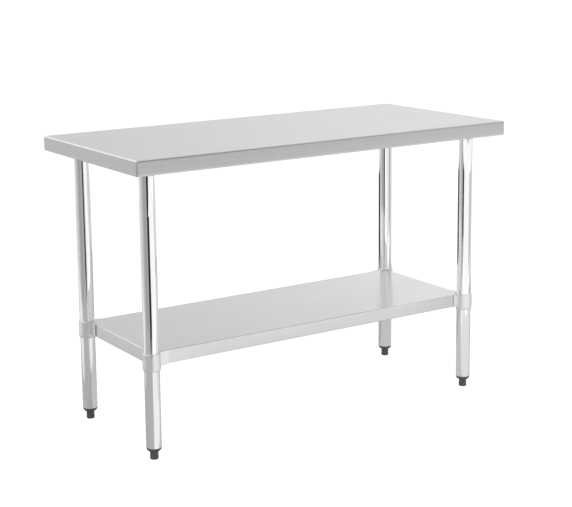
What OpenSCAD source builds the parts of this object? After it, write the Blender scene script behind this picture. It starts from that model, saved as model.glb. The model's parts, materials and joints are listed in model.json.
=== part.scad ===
// Stainless work table: a folded sheet worktop on four tubular legs, with an
// undershelf that slides on the legs and is held by set screws, and screw feet.
// Millimetres. Origin on the floor under the middle, +X along the length,
// +Y to the back, +Z up.

/* [Table] */
// Overall length of the worktop
table_length = 1321; // [900:1:2438]
// Overall depth of the worktop, front to back
table_depth = 610; // [500:1:760]
// Height of the worktop surface above the floor
table_height = 889; // [800:1:960]

/* [Worktop] */
// Height of the turned-down edge
worktop_apron = 45; // [38:1:60]
// Sheet thickness
worktop_sheet = 1.5; // [1.2:0.1:2]
// Outside radius of the folds
worktop_bend = 4; // [3:0.5:8]
// Outside radius of the welded upright corners
worktop_corner = 3; // [2.5:0.5:8]
// Width of the lip turned inwards under the edge
worktop_return = 15; // [8:1:25]

/* [Undershelf] */
// Height of the shelf surface above the floor
shelf_height = 315; // [200:1:600]
// Height of the shelf's turned-down edge
shelf_apron = 40; // [30:1:50]
// Sheet thickness of the shelf
shelf_sheet = 1.2; // [1:0.1:1.5]
// Outside radius of the shelf's folds
shelf_bend = 4; // [3:0.5:6]
// Width of the lip turned inwards under the shelf's edge
shelf_return = 15; // [8:1:25]
// Room between a bracket's sleeve and the shelf's cut-out corner
notch_gap = 2.5; // [1:0.5:5]

/* [Legs] */
// Outside diameter of the leg tube
leg_diameter = 45.5; // [36:0.1:55]
// Wall of the leg tube
leg_wall = 1.5; // [1.2:0.1:2]
// From the worktop's end to the leg's axis
leg_inset_x = 80; // [60:1:200]
// From the worktop's front or back edge to the leg's axis
leg_inset_y = 95; // [60:1:140]

/* [Top channels] */
// Width of the channel's web
channel_web = 70; // [60:1:90]
// Width of each of the channel's two flanges
channel_flange = 15; // [14:1:25]
// Height of the channel
channel_height = 20; // [18:1:26]
// Sheet thickness of the channels
channel_sheet = 1.5; // [1.2:0.1:2]
// Outside radius of the channel's folds
channel_bend = 3; // [2.5:0.5:5]
// Thickness of the sound-deadening strips
damping = 3; // [2:0.5:5]
// From the end of a cross channel to the worktop's edge
channel_end_room = 22; // [18:1:60]

/* [Shelf channel] */
// Width of the shelf channel's web
shelf_channel_web = 50; // [40:1:80]
// Height of the shelf channel
shelf_channel_height = 18; // [15:1:22]
// From the end of the shelf channel to the shelf's end
shelf_channel_room = 40; // [30:1:100]

/* [Leg sockets] */
// Size of the socket's plate along the table
plate_x = 66; // [60:1:85]
// Size of the socket's plate across the table
plate_y = 104; // [95:1:140]
// Thickness of the socket's plate
plate = 4; // [3:0.5:6]
// Wall of the socket's sleeve
socket_wall = 4.5; // [3:0.5:7]
// Depth of the socket's sleeve below its plate
socket_depth = 30; // [26:1:45]
// Distance between the bolts along the table
bolt_spacing_x = 44; // [36:1:50]
// Distance between the bolts across the table
bolt_spacing_y = 80; // [70:1:110]
// Radius of the plate's corners
plate_corner = 8; // [4:1:12]
// Thickness of the ribs between the sleeve and the plate
socket_rib = 4; // [3:0.5:6]
// Height of the ribs at the sleeve
socket_rib_height = 21; // [10:1:24]
// From the end of a rib to the end of the plate
socket_rib_inset = 4; // [2:1:8]

/* [Shelf brackets] */
// Wall of the bracket's sleeve
bracket_wall = 3.2; // [2.5:0.1:6]
// How far the bracket's sleeve reaches below its wings
sleeve_drop = 10.5; // [8.5:0.5:20]
// How far the bracket's sleeve stands above the shelf surface
sleeve_rise = 2; // [0:0.5:5]
// Height of the tapered foot of the sleeve
bracket_taper = 6; // [4:0.5:15]
// Reach of the bracket's long wing from its sleeve
long_wing = 30; // [28:0.5:60]
// Reach of the bracket's short wing from its sleeve
short_wing = 15.5; // [15:0.5:40]
// Thickness of the wings
wing = 4; // [3.5:0.5:6]
// How far the wings reach below the shelf's edge
wing_drop = 0.5; // [0:0.5:3]
// From a wing's end to its outer screw
screw_inset = 8; // [6:0.5:8]
// Distance between the long wing's two screws
screw_spacing = 12; // [10:0.5:16]
// From the shelf surface down to the bracket's set screw
set_screw_drop = 29; // [20:1:33]

/* [Feet] */
// Length of the nose that shows below the bowl
nose_show = 24.4; // [16:0.1:40]
// Diameter of the nose's barrel
nose_diameter = 24.6; // [18:0.1:28]
// How much wider the nose's pad is than its barrel
pad_flare = 0.5; // [0:0.5:4]
// Height of the nose's pad
pad_height = 9; // [6:0.5:12]
// Height of the bowl under the leg
bowl_height = 12; // [8:0.5:20]
// Length of the nose that is inside the insert
nose_hidden = 14; // [13:0.5:20]
// Depth of the insert's recess above the bowl's lower rim
recess_depth = 25.6; // [25:0.1:40]
// Length of the insert's threaded hole
foot_thread_length = 16; // [10:1:30]
// Diameter of the foot's stud
foot_stud_diameter = 12; // [8:1:14]
// Length of the foot's stud
foot_stud_length = 66; // [60:1:90]
// Length of the stud that is set in the nose
foot_stud_grip = 20; // [14:1:30]
// Number of gripping ribs round the insert's plug
insert_ribs = 3; // [2:1:4]

/* [Fasteners] */
// Thread diameter of the socket bolts
bolt_diameter = 8; // [6:1:10]
// Thread diameter of the weld studs
stud_diameter = 6; // [5:1:6]
// Length of the weld studs
stud_length = 14; // [12:1:18]
// Thread diameter of the set screws
set_screw_diameter = 8; // [6:1:10]
// Thread diameter of the bracket screws
bracket_screw_diameter = 4; // [3:1:5]
// Largest distance between weld studs
stud_pitch = 300; // [150:10:400]
// Wall of the bosses round the set screws
boss_wall = 3.5; // [2.5:0.5:5]
// How far the bosses stand out from their sleeves
boss_out = 6; // [4:0.5:10]

/* [Clearances] */
// Radial room between a leg and its shelf bracket, which slides on it
sleeve_gap = 0.3; // [0.3:0.05:0.6]
// Radial room between a leg and its socket
socket_gap = 0.2; // [0.1:0.05:0.5]
// Radial room round a thread
thread_gap = 0.06; // [0.02:0.01:0.1]
// Radial room between a nose and the insert's recess
nose_gap = 0.4; // [0.3:0.05:0.8]
// Radial room between an insert and the leg's bore
insert_gap = 0.1; // [0.05:0.05:0.3]
// Room between a shelf set screw's tip and the leg
tip_gap = 0.1; // [0.05:0.05:0.3]
// Radial room of the holes that bolts and studs pass through
hole_gap = 0.5; // [0.3:0.1:1]
// Room between the ends of pieces that butt
butt_gap = 0.5; // [0.2:0.1:2]

/* [Hidden] */
$fn = 72;
EPS = 0.01;
leg_r = leg_diameter / 2;
leg_x = table_length / 2 - leg_inset_x;
leg_y = table_depth / 2 - leg_inset_y;

// Levels under the worktop, from the top down
sheet_under = table_height - worktop_sheet;
channel_top = sheet_under - damping;
channel_bottom = channel_top - channel_height;
plate_bottom = channel_bottom - plate;
socket_bottom = plate_bottom - socket_depth;
leg_top = plate_bottom - butt_gap;
leg_bottom = nose_show + bowl_height;

// Channels
channel_width = channel_web + 2 * channel_flange;
cross_length = table_depth - 2 * channel_end_room;
long_length = 2 * leg_x - channel_width - 2 * butt_gap;
strip_inset = 0.5;
strip_width = channel_flange - 2 * strip_inset;

// Shelf: its outer faces lie against the inner faces of the wings
shelf_length = 2 * leg_x - wing;
shelf_depth = 2 * leg_y - wing;
shelf_under = shelf_height - shelf_sheet;
shelf_channel_top = shelf_under - damping;
shelf_channel_length = shelf_length - 2 * shelf_channel_room;
wing_height = shelf_apron + wing_drop;
bracket_height = wing_height + sleeve_drop;
bracket_r = leg_r + sleeve_gap + bracket_wall;
bracket_bottom = shelf_height - bracket_height;
sleeve_top = shelf_height + sleeve_rise;

// Sockets
socket_r = leg_r + socket_gap + socket_wall;

// Fasteners: hexagon across its corners and heights, as shares of the thread's diameter
hex_ratio = 1.85;
nut_ratio = 0.8;
head_ratio = 0.65;
key_ratio = 0.58;
key_depth = 3.5;
chamfer = 1;
bolt_head = head_ratio * bolt_diameter;
bolt_nut = nut_ratio * bolt_diameter;
bolt_end = 2;
stud_nut = nut_ratio * stud_diameter;
stud_nut_drop = channel_sheet + stud_nut;

// Set screws and their bosses
set_screw_r = set_screw_diameter / 2;
boss_r = set_screw_r + boss_wall;
socket_screw_z = plate_bottom - socket_depth / 2;
bracket_screw_z = shelf_height - set_screw_drop;

// Feet
nose_r = nose_diameter / 2;
pad_r = nose_r + pad_flare / 2;
pad_edge = 3;
recess_r = nose_r + nose_gap;
recess_top = nose_show + recess_depth;
insert_top = recess_top + foot_thread_length;
insert_r = leg_r - leg_wall - insert_gap;
insert_rib = 0.8;
insert_rib_height = 4;
bowl_rim = 1.2;
foot_stud_bottom = nose_show + nose_hidden - foot_stud_grip;
foot_stud_r = foot_stud_diameter / 2;

// Corners: side along X, side along Y, and the turn that points a corner's own +X +Y inwards
FL = [-1, -1, 0];
FR = [1, -1, 90];
BR = [1, 1, 180];
BL = [-1, 1, 270];
CORNERS = [FL, FR, BR, BL];

// Evenly spaced places along a length, no further apart than the stud pitch
function places(length) =
    let (gaps = max(1, ceil(length / stud_pitch)))
    [for (i = [0:gaps]) -length / 2 + i * length / gaps];

// ---- Shared shapes ----

module rounded_rect(w, h, r) {
    square([w - 2 * r, h], center = true);
    square([w, h - 2 * r], center = true);
    for (x = [-1, 1], y = [-1, 1])
        translate([x * (w / 2 - r), y * (h / 2 - r)]) circle(r);
}

// A block standing on z = 0 with folded edges of radius bend and upright corners of radius corner
module folded_block(l, w, h, bend, corner) {
    intersection() {
        translate([0, 0, h / 2]) rotate([90, 0, 90])
            linear_extrude(l, center = true) rounded_rect(w, h, bend);
        translate([0, 0, h / 2]) rotate([90, 0, 0])
            linear_extrude(w, center = true) rounded_rect(l, h, bend);
        linear_extrude(h) rounded_rect(l, w, corner);
    }
}

// A sheet folded down all round, with a lip turned in underneath; its top is at z = 0
module pan(l, w, h, sheet, bend, corner, lip) {
    translate([0, 0, -h]) difference() {
        folded_block(l, w, h, bend, corner);
        translate([0, 0, sheet])
            folded_block(l - 2 * sheet, w - 2 * sheet, h - 2 * sheet, bend - sheet, corner - sheet);
        translate([0, 0, -1]) linear_extrude(h / 2)
            rounded_rect(l - 2 * lip, w - 2 * lip, corner);
    }
}

// Section of a hat channel: web down, flanges up, top at y = 0
module hat_section(web, height) {
    inner = channel_bend - channel_sheet;
    translate([0, -height]) intersection() {
        difference() {
            translate([0, height]) rounded_rect(web, 2 * height, channel_bend);
            translate([0, height])
                rounded_rect(web - 2 * channel_sheet, 2 * (height - channel_sheet), inner);
        }
        translate([-web / 2, 0]) square([web, height]);
    }
    for (side = [-1, 1])
        translate([side * (web / 2 + channel_flange / 2 - channel_sheet / 2), -channel_sheet / 2])
            square([channel_flange + channel_sheet, channel_sheet], center = true);
}

// A hat channel lying along X with its flanges' tops at z = 0
module hat_channel(length, web, height) {
    rotate([90, 0, 90]) linear_extrude(length, center = true) hat_section(web, height);
}

// Two deadening strips on a channel's flanges, lying along X on z = 0
module damping_strips(length, web) {
    for (side = [-1, 1])
        translate([-length / 2, side * (web + channel_flange) / 2 - strip_width / 2, 0])
            cube([length, strip_width, damping]);
}

// Children at each stud of a channel that lies along X
module at_studs(length, web) {
    for (x = places(length - 2 * channel_flange), side = [-1, 1])
        translate([x, side * (web + channel_flange) / 2, 0]) children();
}

module stud_hole() {
    translate([0, 0, -2 * stud_length]) cylinder(r = stud_diameter / 2 + hole_gap, h = 3 * stud_length);
}

// A weld stud hanging from z = 0
module weld_stud() {
    translate([0, 0, -stud_length]) cylinder(d = stud_diameter, h = stud_length);
}

module hex_nut(diameter, height) {
    difference() {
        cylinder(d = hex_ratio * diameter, h = height, $fn = 6);
        translate([0, 0, -1]) cylinder(r = diameter / 2 + thread_gap, h = height + 2);
    }
}

// A socket set screw lying along +X with its tip at x = 0
module set_screw(length) {
    rotate([0, 90, 0]) difference() {
        union() {
            cylinder(r1 = set_screw_r - chamfer, r2 = set_screw_r, h = chamfer);
            translate([0, 0, chamfer]) cylinder(r = set_screw_r, h = length - chamfer);
        }
        translate([0, 0, length - key_depth])
            cylinder(d = key_ratio * set_screw_diameter, h = 2 * key_depth, $fn = 6);
    }
}

// Children at a corner's leg axis, without and with the corner's turn
module at_leg(c) { translate([c[0] * leg_x, c[1] * leg_y, 0]) children(); }
module at_corner(c) { at_leg(c) rotate(c[2]) children(); }

// ---- Worktop and its stiffening ----

module worktop() {
    color("gainsboro") translate([0, 0, table_height])
        pan(table_length, table_depth, worktop_apron, worktop_sheet,
            worktop_bend, worktop_corner, worktop_return);
}

// Children on the long channel and on both cross channels, each lying along its own X
module on_long() { translate([0, 0, channel_top]) children(); }
module on_cross(side) { translate([side * leg_x, 0, channel_top]) rotate(90) children(); }

module top_channel_long() {
    color("darkgray") on_long() difference() {
        hat_channel(long_length, channel_web, channel_height);
        at_studs(long_length, channel_web) stud_hole();
    }
}

module top_channel_cross(side) {
    color("darkgray") difference() {
        on_cross(side) difference() {
            hat_channel(cross_length, channel_web, channel_height);
            at_studs(cross_length, channel_web) stud_hole();
        }
        for (y = [-1, 1]) at_leg([side, y]) socket_bolt_holes();
    }
}
module top_channel_left() { top_channel_cross(-1); }
module top_channel_right() { top_channel_cross(1); }

module top_damping_strips() {
    color("dimgray") {
        on_long() difference() {
            damping_strips(long_length, channel_web);
            at_studs(long_length, channel_web) stud_hole();
        }
        for (side = [-1, 1]) on_cross(side) difference() {
            damping_strips(cross_length, channel_web);
            at_studs(cross_length, channel_web) stud_hole();
        }
    }
}

module channel_studs() {
    color("silver") translate([0, 0, damping]) {
        on_long() at_studs(long_length, channel_web) weld_stud();
        for (side = [-1, 1]) on_cross(side) at_studs(cross_length, channel_web) weld_stud();
    }
}

module channel_nuts() {
    color("silver") translate([0, 0, -stud_nut_drop]) {
        on_long() at_studs(long_length, channel_web) hex_nut(stud_diameter, stud_nut);
        for (side = [-1, 1]) on_cross(side)
            at_studs(cross_length, channel_web) hex_nut(stud_diameter, stud_nut);
    }
}

// ---- Leg sockets ----

// Children at the four bolts of a socket
module at_socket_bolts() {
    for (x = [-1, 1], y = [-1, 1])
        translate([x * bolt_spacing_x / 2, y * bolt_spacing_y / 2, 0]) children();
}

module socket_bolt_holes() {
    at_socket_bolts() translate([0, 0, plate_bottom - 1])
        cylinder(r = bolt_diameter / 2 + hole_gap, h = plate + channel_sheet + 2);
}

// Upright web between the sleeve and the end of the plate
module socket_rib(side) {
    root = side * (socket_r - socket_wall / 2);
    reach = side * (plate_y / 2 - socket_rib_inset);
    translate([-socket_rib / 2, 0, 0]) rotate([90, 0, 90]) linear_extrude(socket_rib)
        polygon([[root, 0], [reach, 0], [root, -socket_rib_height]]);
}

module leg_socket(c) {
    color("silver") difference() {
        union() {
            at_leg(c) {
                translate([0, 0, plate_bottom]) linear_extrude(plate)
                    rounded_rect(plate_x, plate_y, plate_corner);
                translate([0, 0, socket_bottom]) cylinder(r = socket_r, h = socket_depth + EPS);
                translate([0, 0, plate_bottom + EPS]) for (side = [-1, 1]) socket_rib(side);
            }
            at_corner(c) translate([0, 0, socket_screw_z]) rotate([0, 90, 45])
                cylinder(r = boss_r, h = socket_r + boss_out);
        }
        at_leg(c) {
            translate([0, 0, socket_bottom - 1])
                cylinder(r = leg_r + socket_gap, h = socket_depth + 1);
            socket_bolt_holes();
        }
        at_corner(c) translate([0, 0, socket_screw_z]) rotate([0, 90, 45])
            cylinder(r = set_screw_r + thread_gap, h = socket_r + 2 * boss_out);
    }
}
module leg_socket_fl() { leg_socket(FL); }
module leg_socket_fr() { leg_socket(FR); }
module leg_socket_bl() { leg_socket(BL); }
module leg_socket_br() { leg_socket(BR); }

module socket_bolts() {
    shank = plate + channel_sheet + bolt_nut + bolt_end;
    color("lightgray") for (c = CORNERS) at_leg(c) at_socket_bolts() {
        translate([0, 0, plate_bottom - bolt_head])
            cylinder(d = hex_ratio * bolt_diameter, h = bolt_head, $fn = 6);
        translate([0, 0, plate_bottom - EPS]) cylinder(d = bolt_diameter, h = shank);
    }
}

module socket_nuts() {
    color("lightgray") for (c = CORNERS) at_leg(c) at_socket_bolts()
        translate([0, 0, channel_bottom + channel_sheet]) hex_nut(bolt_diameter, bolt_nut);
}

module socket_set_screws() {
    color("dimgray") for (c = CORNERS) at_corner(c) rotate(45)
        translate([leg_r, 0, socket_screw_z]) set_screw(socket_wall + boss_out - chamfer);
}

// ---- Legs ----

module leg(c) {
    color("lightgray") at_leg(c) translate([0, 0, leg_bottom]) difference() {
        cylinder(r = leg_r, h = leg_top - leg_bottom);
        translate([0, 0, -1]) cylinder(r = leg_r - leg_wall, h = leg_top - leg_bottom + 2);
    }
}
module leg_fl() { leg(FL); }
module leg_fr() { leg(FR); }
module leg_bl() { leg(BL); }
module leg_br() { leg(BR); }

// ---- Undershelf and its stiffening ----

module undershelf() {
    color("gainsboro") difference() {
        translate([0, 0, shelf_height])
            pan(shelf_length, shelf_depth, shelf_apron, shelf_sheet,
                shelf_bend, shelf_bend, shelf_return);
        for (c = CORNERS) at_leg(c) translate([0, 0, shelf_height - shelf_apron - 1])
            cylinder(r = bracket_r + notch_gap, h = shelf_apron + 2);
        for (c = CORNERS) at_corner(c) at_bracket_screws() bracket_screw_hole();
    }
}

module on_shelf_channel() { translate([0, 0, shelf_channel_top]) children(); }

module shelf_channel() {
    color("darkgray") on_shelf_channel() difference() {
        hat_channel(shelf_channel_length, shelf_channel_web, shelf_channel_height);
        at_studs(shelf_channel_length, shelf_channel_web) stud_hole();
    }
}

module shelf_damping_strips() {
    color("dimgray") on_shelf_channel() difference() {
        damping_strips(shelf_channel_length, shelf_channel_web);
        at_studs(shelf_channel_length, shelf_channel_web) stud_hole();
    }
}

module shelf_studs() {
    color("silver") translate([0, 0, damping]) on_shelf_channel()
        at_studs(shelf_channel_length, shelf_channel_web) weld_stud();
}

module shelf_nuts() {
    color("silver") translate([0, 0, -stud_nut_drop]) on_shelf_channel()
        at_studs(shelf_channel_length, shelf_channel_web) hex_nut(stud_diameter, stud_nut);
}

// ---- Shelf brackets: one casting, turned to suit each corner ----

// Children at a bracket's screws, with +Z pointing out of the shelf through the wing
module at_bracket_screws() {
    z = shelf_height - shelf_apron / 2;
    outer = bracket_r + long_wing - screw_inset;
    for (x = [outer, outer - screw_spacing])
        translate([x, wing / 2, z]) rotate([90, 0, 0]) children();
    translate([wing / 2, bracket_r + short_wing - screw_inset, z]) rotate([0, -90, 0]) children();
}

module bracket_screw_hole() {
    translate([0, 0, -2 * shelf_sheet])
        cylinder(r = bracket_screw_diameter / 2 + hole_gap, h = 2 * shelf_sheet + EPS);
}

// A wing reaching along +X
module bracket_wing(reach) {
    root = bracket_wall / 2;
    translate([bracket_r, 0, shelf_height - wing_height]) linear_extrude(wing_height)
        translate([(reach - root) / 2, 0]) rounded_rect(reach + root, wing, wing / 4);
}

module bracket_sleeve() {
    bore = leg_r + sleeve_gap;
    edge = bracket_wall / 4;
    rotate_extrude() polygon([
        [bore, bracket_bottom], [bore + edge, bracket_bottom],
        [bracket_r, bracket_bottom + bracket_taper], [bracket_r, sleeve_top - edge],
        [bracket_r - edge, sleeve_top], [bore, sleeve_top]
    ]);
}

module shelf_bracket(c) {
    color("lightgray") at_corner(c) difference() {
        union() {
            bracket_sleeve();
            bracket_wing(long_wing);
            mirror([1, -1, 0]) bracket_wing(short_wing);
            translate([0, 0, bracket_screw_z]) rotate([0, 90, 45])
                cylinder(r = boss_r, h = bracket_r + boss_out);
        }
        translate([0, 0, bracket_bottom - 1])
            cylinder(r = leg_r + sleeve_gap, h = sleeve_top - bracket_bottom + 2);
        translate([0, 0, bracket_screw_z]) rotate([0, 90, 45])
            cylinder(r = set_screw_r + thread_gap, h = bracket_r + 2 * boss_out);
        at_bracket_screws() translate([0, 0, -EPS])
            cylinder(r = bracket_screw_diameter / 2 + thread_gap, h = wing - 1);
    }
}
module shelf_bracket_fl() { shelf_bracket(FL); }
module shelf_bracket_fr() { shelf_bracket(FR); }
module shelf_bracket_bl() { shelf_bracket(BL); }
module shelf_bracket_br() { shelf_bracket(BR); }

module bracket_screws() {
    head = head_ratio * bracket_screw_diameter;
    color("silver") for (c = CORNERS) at_corner(c) at_bracket_screws() {
        translate([0, 0, -shelf_sheet - head]) cylinder(d = 2 * bracket_screw_diameter, h = head);
        translate([0, 0, -shelf_sheet - EPS])
            cylinder(d = bracket_screw_diameter, h = shelf_sheet + wing - 1.5);
    }
}

module bracket_set_screws() {
    color("dimgray") for (c = CORNERS) at_corner(c) rotate(45)
        translate([leg_r + tip_gap, 0, bracket_screw_z])
            set_screw(sleeve_gap + bracket_wall + boss_out - chamfer);
}

// ---- Feet ----

// Outline of the bowl from the leg's rim down to the recess's mouth
function bowl_curve() =
    let (mouth = recess_r + bowl_rim, steps = 8, lip = 1, round = 0.75)
    [for (i = [0:steps])
        let (a = 90 * i / steps, t = i / steps,
             swell = round * cos(a) + (1 - round) * (1 - t), fall = round * sin(a) + (1 - round) * t)
        [mouth + (leg_r - mouth) * swell, leg_bottom - lip - (bowl_height - lip) * fall]];

module foot_insert(c) {
    plug = insert_top - leg_bottom;
    color("dimgray") at_leg(c) difference() {
        union() {
            rotate_extrude() polygon(concat(
                [[0, nose_show], [0, leg_bottom], [leg_r, leg_bottom]], bowl_curve()));
            translate([0, 0, leg_bottom - EPS]) cylinder(r = insert_r - insert_rib, h = plug + EPS);
            for (i = [1:insert_ribs])
                translate([0, 0, insert_top - i * plug / insert_ribs + insert_rib_height / 2])
                    cylinder(r1 = insert_r, r2 = insert_r - insert_rib, h = insert_rib_height);
        }
        translate([0, 0, nose_show - 1]) cylinder(r = recess_r, h = recess_depth + 1);
        translate([0, 0, recess_top - 1])
            cylinder(r = foot_stud_r + thread_gap, h = foot_thread_length + 2);
    }
}
module foot_insert_fl() { foot_insert(FL); }
module foot_insert_fr() { foot_insert(FR); }
module foot_insert_bl() { foot_insert(BL); }
module foot_insert_br() { foot_insert(BR); }

module foot_stud(c) {
    color("silver") at_leg(c) translate([0, 0, foot_stud_bottom]) {
        cylinder(r = foot_stud_r, h = foot_stud_length - chamfer);
        translate([0, 0, foot_stud_length - chamfer])
            cylinder(r1 = foot_stud_r, r2 = foot_stud_r - chamfer, h = chamfer);
    }
}
module foot_stud_fl() { foot_stud(FL); }
module foot_stud_fr() { foot_stud(FR); }
module foot_stud_bl() { foot_stud(BL); }
module foot_stud_br() { foot_stud(BR); }

module foot_nose(c) {
    top = nose_show + nose_hidden;
    color("#4a4d50") at_leg(c) rotate_extrude() difference() {
        union() {
            translate([0, pad_edge]) square([pad_r, pad_height - pad_edge]);
            square([pad_r - pad_edge, pad_height]);
            translate([pad_r - pad_edge, pad_edge]) circle(pad_edge);
            polygon([[0, pad_height - EPS], [pad_r, pad_height - EPS],
                     [nose_r, pad_height + pad_flare], [nose_r, top], [0, top]]);
        }
        translate([-2 * pad_r, -1]) square([2 * pad_r, top + 2]);
        translate([-EPS, foot_stud_bottom - butt_gap])
            square([foot_stud_r + thread_gap + EPS, top]);
    }
}
module foot_nose_fl() { foot_nose(FL); }
module foot_nose_fr() { foot_nose(FR); }
module foot_nose_bl() { foot_nose(BL); }
module foot_nose_br() { foot_nose(BR); }

worktop();
top_channel_long();
top_channel_left();
top_channel_right();
top_damping_strips();
channel_studs();
channel_nuts();
leg_socket_fl();
leg_socket_fr();
leg_socket_bl();
leg_socket_br();
socket_bolts();
socket_nuts();
socket_set_screws();
leg_fl();
leg_fr();
leg_bl();
leg_br();
undershelf();
shelf_channel();
shelf_damping_strips();
shelf_studs();
shelf_nuts();
shelf_bracket_fl();
shelf_bracket_fr();
shelf_bracket_bl();
shelf_bracket_br();
bracket_screws();
bracket_set_screws();
foot_insert_fl();
foot_insert_fr();
foot_insert_bl();
foot_insert_br();
foot_stud_fl();
foot_stud_fr();
foot_stud_bl();
foot_stud_br();
foot_nose_fl();
foot_nose_fr();
foot_nose_bl();
foot_nose_br();
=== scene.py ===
import json
import math

import bmesh
import bpy
from mathutils import Matrix, Vector

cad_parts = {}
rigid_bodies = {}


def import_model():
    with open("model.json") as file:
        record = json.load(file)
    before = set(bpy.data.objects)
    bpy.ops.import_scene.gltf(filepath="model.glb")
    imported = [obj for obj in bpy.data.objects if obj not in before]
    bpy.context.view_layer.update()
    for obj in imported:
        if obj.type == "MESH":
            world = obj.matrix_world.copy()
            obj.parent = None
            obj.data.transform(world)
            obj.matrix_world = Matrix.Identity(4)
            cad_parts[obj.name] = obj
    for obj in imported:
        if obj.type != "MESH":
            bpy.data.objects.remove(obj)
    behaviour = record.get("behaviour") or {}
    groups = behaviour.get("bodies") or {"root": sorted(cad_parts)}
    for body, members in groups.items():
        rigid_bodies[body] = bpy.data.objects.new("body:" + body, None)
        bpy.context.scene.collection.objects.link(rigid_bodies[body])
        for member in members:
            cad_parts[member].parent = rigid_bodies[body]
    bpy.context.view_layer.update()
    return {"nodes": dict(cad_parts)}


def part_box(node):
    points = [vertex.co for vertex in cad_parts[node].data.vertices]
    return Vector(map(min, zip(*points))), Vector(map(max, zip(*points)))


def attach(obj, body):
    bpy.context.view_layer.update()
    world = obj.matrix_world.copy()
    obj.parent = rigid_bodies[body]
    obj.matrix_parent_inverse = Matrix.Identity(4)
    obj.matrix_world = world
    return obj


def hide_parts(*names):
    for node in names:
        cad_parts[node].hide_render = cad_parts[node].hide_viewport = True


# Stainless work table: a folded worktop on four polished tubes, with an undershelf that slides on
# them and four screw feet. Metres, floor at z = 0, +X along the table and +Y to its back.
for leftover in list(bpy.data.objects):
    bpy.data.objects.remove(leftover, do_unlink=True)
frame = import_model()


# ---- Camera ----
# Stands off the table's front left corner, a little above the worktop, and looks down across it.
# A long lens keeps the legs nearly upright.
CAMERA_PLACE = Vector((-2.351, -3.576, 1.476))
CAMERA_LENS = 87.1
LOOKS_RIGHT = 32.15
LOOKS_DOWN = 10.14
LEANS = -0.84
SENSOR = 36
SHIFT_RIGHT = 0.06
SHIFT_UP = -0.12

camera_lens = bpy.data.cameras.new("camera")
camera_lens.sensor_width = SENSOR
camera_lens.lens = CAMERA_LENS
camera_lens.shift_x = SHIFT_RIGHT
camera_lens.shift_y = SHIFT_UP
camera = bpy.data.objects.new("camera", camera_lens)
camera.matrix_world = (
    Matrix.Translation(CAMERA_PLACE)
    @ Matrix.Rotation(math.radians(-LOOKS_RIGHT), 4, "Z")
    @ Matrix.Rotation(math.radians(90 - LOOKS_DOWN), 4, "X")
    @ Matrix.Rotation(math.radians(LEANS), 4, "Z")
)
bpy.context.collection.objects.link(camera)
bpy.context.scene.camera = camera
bpy.context.scene.view_settings.view_transform = "Standard"


# ---- Studio ----
# A white room with a pale floor, its walls lit more at the back than at the front. White cards stand
# before the table and lie over and round it, black boards stand at its left and a dark one at its
# back; together they give the tubes and sheets their stripes.
def node(material, kind, **settings):
    """A new shader node, with its sockets and options set by name."""
    made = material.node_tree.nodes.new("ShaderNode" + kind)
    for key, value in settings.items():
        socket = made.inputs.get(key.replace("_", " ")) if key[0].isupper() else None
        if socket:
            socket.default_value = value
        else:
            setattr(made, key.lower(), value)
    return made


def wire(material, output, socket):
    """Joins two sockets."""
    material.node_tree.links.new(output, socket)


def shades(material, stops, interpolation="LINEAR"):
    """A ramp of greys from (place, brightness) stops."""
    ramp = node(material, "ValToRGB")
    ramp.color_ramp.interpolation = interpolation
    for i, (place, grey) in enumerate(stops):
        stop = ramp.color_ramp.elements[i] if i < 2 else ramp.color_ramp.elements.new(place)
        stop.position = place
        stop.color = (grey, grey, grey, 1)
    return ramp


def bearing(degrees):
    """Place on a ramp round the room of a bearing, from the front (0) round by the left (90)."""
    return (degrees + 180) / 360


ROOM_LIGHT = 1.25
PAPER_WHITE = 1.1
# The walls change from low to high between these levels, the sine of the angle above level, reversed.
LOW_END = -0.06
HIGH_START = -0.30
LOW_WALLS = [(-180, 0.86), (-160, 0.98), (-150, 1.29), (-142, 1.32), (-125, 0.96), (-96, 0.50),
             (-75, 0.66), (-52, 0.49), (-40, 0.40), (-34, 0.29), (-26, 0.25), (0, 0.34), (45, 0.38),
             (60, 0.30), (88, 0.34), (115, 0.54), (150, 0.61), (180, 0.86)]
HIGH_WALLS = [(-180, 1.25), (-166, 1.20), (-160, 0.63), (-150, 0.65), (-142, 0.75), (-125, 0.84),
              (-100, 0.80), (-72, 0.70), (-50, 0.45), (-34, 0.08), (20, 0.15), (42, 1.10), (145, 0.95),
              (155, 1.25), (180, 1.25)]

room = bpy.data.worlds.new("studio")
room.use_nodes = True
bpy.context.scene.world = room
background = room.node_tree.nodes["Background"]
way = node(room, "TexCoord")
back_way = node(room, "VectorMath", operation="SCALE", Scale=-1.0)
parts = node(room, "SeparateXYZ")
turn = node(room, "Math", operation="ARCTAN2")
round_room = node(room, "MapRange")
round_room.inputs["From Min"].default_value = -math.pi
round_room.inputs["From Max"].default_value = math.pi
wire(room, way.outputs["Generated"], back_way.inputs[0])
wire(room, back_way.outputs[0], parts.inputs[0])
wire(room, parts.outputs["X"], turn.inputs[0])
wire(room, parts.outputs["Y"], turn.inputs[1])
wire(room, turn.outputs[0], round_room.inputs["Value"])
low_walls = shades(room, [(bearing(b), g) for b, g in LOW_WALLS])
high_walls = shades(room, [(bearing(b), g) for b, g in HIGH_WALLS])
wire(room, round_room.outputs["Result"], low_walls.inputs[0])
wire(room, round_room.outputs["Result"], high_walls.inputs[0])
height = node(room, "MapRange", interpolation_type="SMOOTHSTEP")
height.inputs["From Min"].default_value = LOW_END
height.inputs["From Max"].default_value = HIGH_START
wire(room, parts.outputs["Z"], height.inputs["Value"])
lit = node(room, "Mix", data_type="RGBA")
wire(room, height.outputs["Result"], lit.inputs[0])
wire(room, low_walls.outputs[0], lit.inputs[6])
wire(room, high_walls.outputs[0], lit.inputs[7])
brighter = node(room, "VectorMath", operation="SCALE", Scale=ROOM_LIGHT)
wire(room, lit.outputs[2], brighter.inputs[0])
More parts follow.
